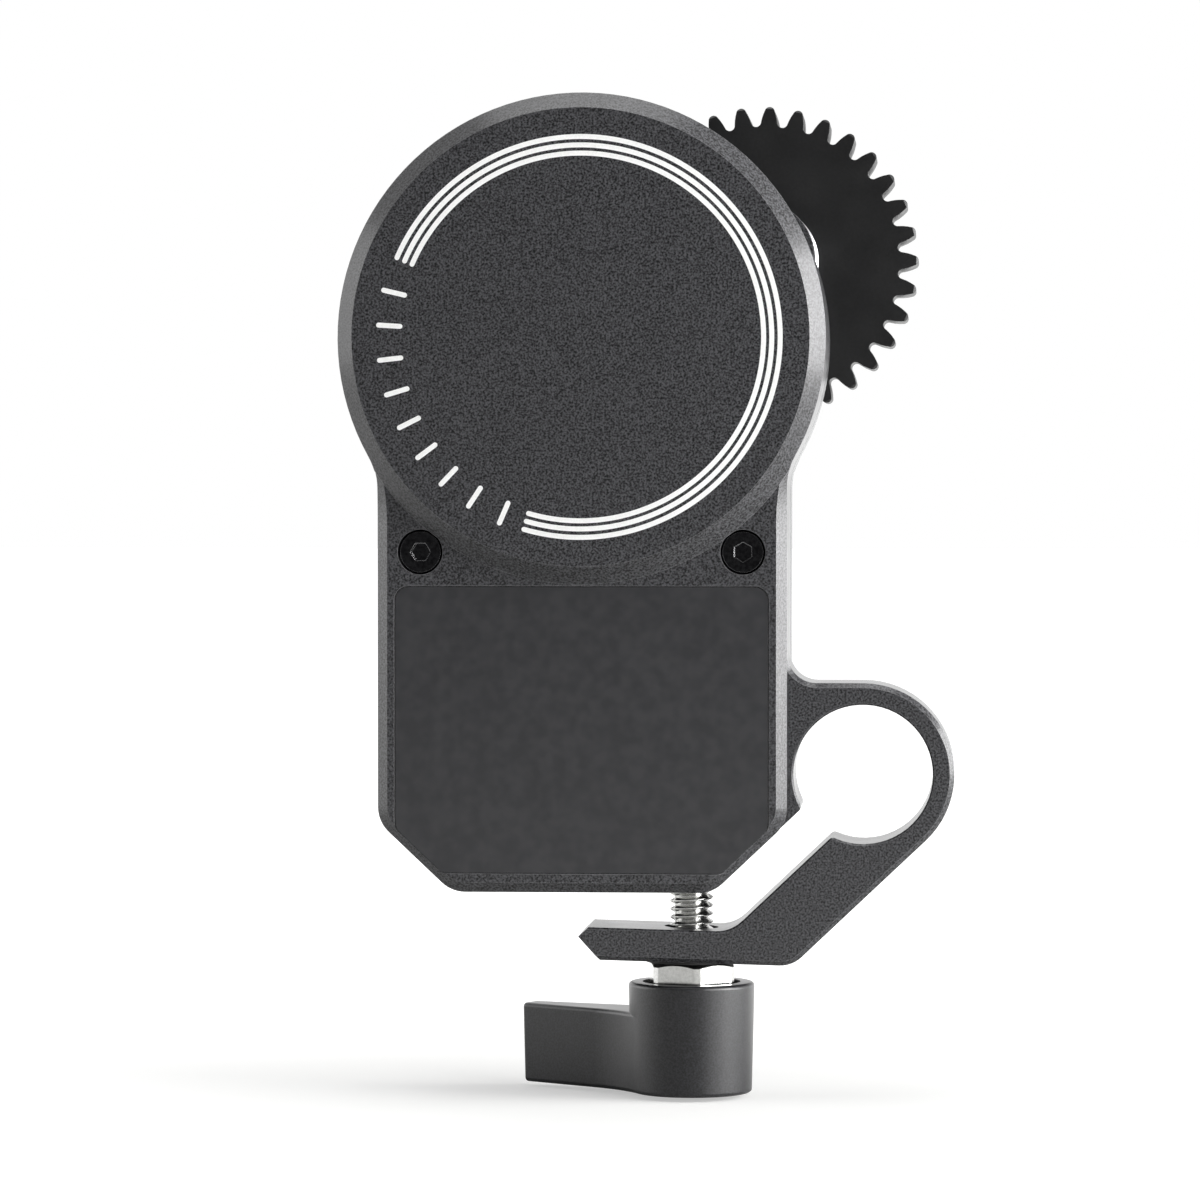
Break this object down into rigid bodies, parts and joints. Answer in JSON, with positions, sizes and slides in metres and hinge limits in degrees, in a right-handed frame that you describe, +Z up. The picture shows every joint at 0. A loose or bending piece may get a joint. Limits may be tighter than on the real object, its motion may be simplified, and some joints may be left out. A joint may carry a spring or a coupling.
{
  "type": "follow focus unit",
  "caption": "Motorised follow focus unit: a flat motor in a round housing turns a toothed wheel; a split clamp with an indexing lever grips a 12 mm rod.",
  "frame": {"origin": "on the axis of the clamp's rod bore, half way through the clamp", "axes": "+Y along the rod from the rear cover towards the toothed wheel, +Z up from the clamp's lever to the round housing, +X to the right as one looks at the rear cover"},
  "size_m": [0.0532, 0.0337, 0.0873],
  "materials": {
    "black_anodised": "fine sand-blasted, black anodised",
    "black_gloss_film": "smooth glossy film",
    "black_steel": "black oxide",
    "bright_steel": "machined, bright",
    "black_acetal": "machined, smooth",
    "grey_aluminium": "machined",
    "brass": "machined",
    "copper": "enamelled wire",
    "lamination": "stacked sheet",
    "magnet": "nickel plated",
    "circuit_green": "solder mask",
    "black_polymer": "moulded",
    "white_ink": "screen printed"
  },
  "bodies": {
    "unit": {"main_housing": "black_anodised", "rear_cover": "black_anodised", "front_cover": "black_anodised", "label_plate": "black_gloss_film", "rear_cover_screws": "black_steel", "front_cover_screws": "black_steel", "thread_insert": "bright_steel", "gear_plate": "grey_aluminium", "gear_plate_screws": "bright_steel", "idler_pin": "bright_steel", "output_bearing_rear": "bright_steel", "output_bearing_front": "bright_steel", "motor_base": "grey_aluminium", "motor_screws": "bright_steel", "motor_bushes": "brass", "stator_core": "lamination", "stator_windings": "copper", "encoder_board": "circuit_green", "circuit_board": "circuit_green", "board_screws": "bright_steel", "usb_socket": "bright_steel"},
    "focus_gear": {"drive_gear": "black_acetal", "gear_hub": "grey_aluminium", "output_shaft": "bright_steel", "output_pinion": "brass", "retaining_clip": "black_steel", "wheel_washer": "bright_steel", "wheel_screw": "black_steel"},
    "idler": {"idler_gear": "brass"},
    "rotor": {"rotor_bell": "bright_steel", "rotor_magnets": "magnet", "motor_shaft": "bright_steel", "motor_pinion": "brass", "encoder_magnet": "magnet"},
    "washer": {"thrust_washer": "black_polymer"},
    "bolt": {"clamp_bolt": "bright_steel", "lever_screw": "black_steel", "lever_spring": "bright_steel"},
    "lever": {"lever": "black_anodised"}
  },
  "joints": [
    {"name": "gear_spin", "type": "hinge", "parent": "unit", "child": "focus_gear", "pos_m": [-0.00933, 0, 0.04521], "axis": [0, 1, 0], "continuous": true},
    {"name": "idler_spin", "type": "hinge", "parent": "unit", "child": "idler", "pos_m": [-0.01389, 0, 0.04292], "axis": [0, 1, 0], "continuous": true},
    {"name": "rotor_spin", "type": "hinge", "parent": "unit", "child": "rotor", "pos_m": [-0.023, 0, 0.03835], "axis": [0, 1, 0], "continuous": true},
    {"name": "clamp_travel", "type": "slide", "parent": "unit", "child": "washer", "axis": [0, 0, -1], "range_m": [0, 0.00141]},
    {"name": "clamp_turn", "type": "hinge", "parent": "washer", "child": "bolt", "pos_m": [-0.01505, 0, -0.01635], "axis": [0, 0, -1], "range_deg": [0, 720]},
    {"name": "lever_pull", "type": "slide", "parent": "bolt", "child": "lever", "axis": [0, 0, -1], "range_m": [0, 0.0023], "stiffness_N_per_m": 900, "springref_m": -0.0015, "deforming": ["lever_spring"]}
  ],
  "couplings": [
    {"joint": "idler_spin", "follows": "gear_spin", "ratio": -1},
    {"joint": "rotor_spin", "follows": "gear_spin", "ratio": 3},
    {"joint": "clamp_travel", "follows": "clamp_turn", "m_per_rad": 0.0001114}
  ]
}
